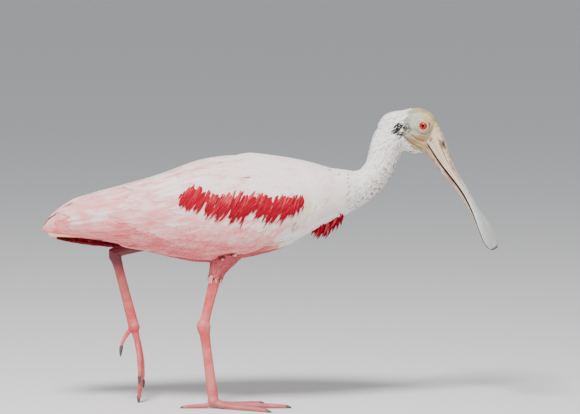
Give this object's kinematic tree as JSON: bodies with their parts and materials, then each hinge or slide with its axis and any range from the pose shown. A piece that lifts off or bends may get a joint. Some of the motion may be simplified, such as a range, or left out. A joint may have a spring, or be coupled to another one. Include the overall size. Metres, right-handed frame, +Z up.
{
  "type": "roseate spoonbill, still life-size model of a wading adult",
  "caption": "Life-size pink spoonbill wading, neck reached forward, long flat spoon-tipped bill lowered, wings folded.",
  "frame": {"origin": "on the floor below the middle of the bird's box", "axes": "+X the way the bird faces, +Y its left side, +Z up"},
  "size_m": [0.5696, 0.1292, 0.3758],
  "materials": {
    "white_plumage": "soft",
    "pink_plumage": "soft",
    "red_plumage": "soft",
    "tail_plumage": "soft",
    "bare_head_skin": "matt",
    "bill_horn": "satin",
    "leg_skin": "satin",
    "eye": "gloss"
  },
  "bodies": {
    "root": {"breast_tuft": "red_plumage", "eye_left": "eye", "eye_right": "eye", "foot_left": "leg_skin", "foot_right": "leg_skin", "head": "bare_head_skin", "lower_bill": "bill_horn", "neck_lower": "white_plumage", "neck_middle": "white_plumage", "neck_upper": "white_plumage", "shank_left": "leg_skin", "shank_right": "leg_skin", "tail": "tail_plumage", "tarsus_left": "leg_skin", "tarsus_right": "leg_skin", "thigh_left": "pink_plumage", "thigh_right": "pink_plumage", "torso": "white_plumage", "undertail_coverts": "red_plumage", "upper_bill": "bill_horn", "wing_left": "pink_plumage", "wing_right": "pink_plumage"}
  },
  "joints": []
}
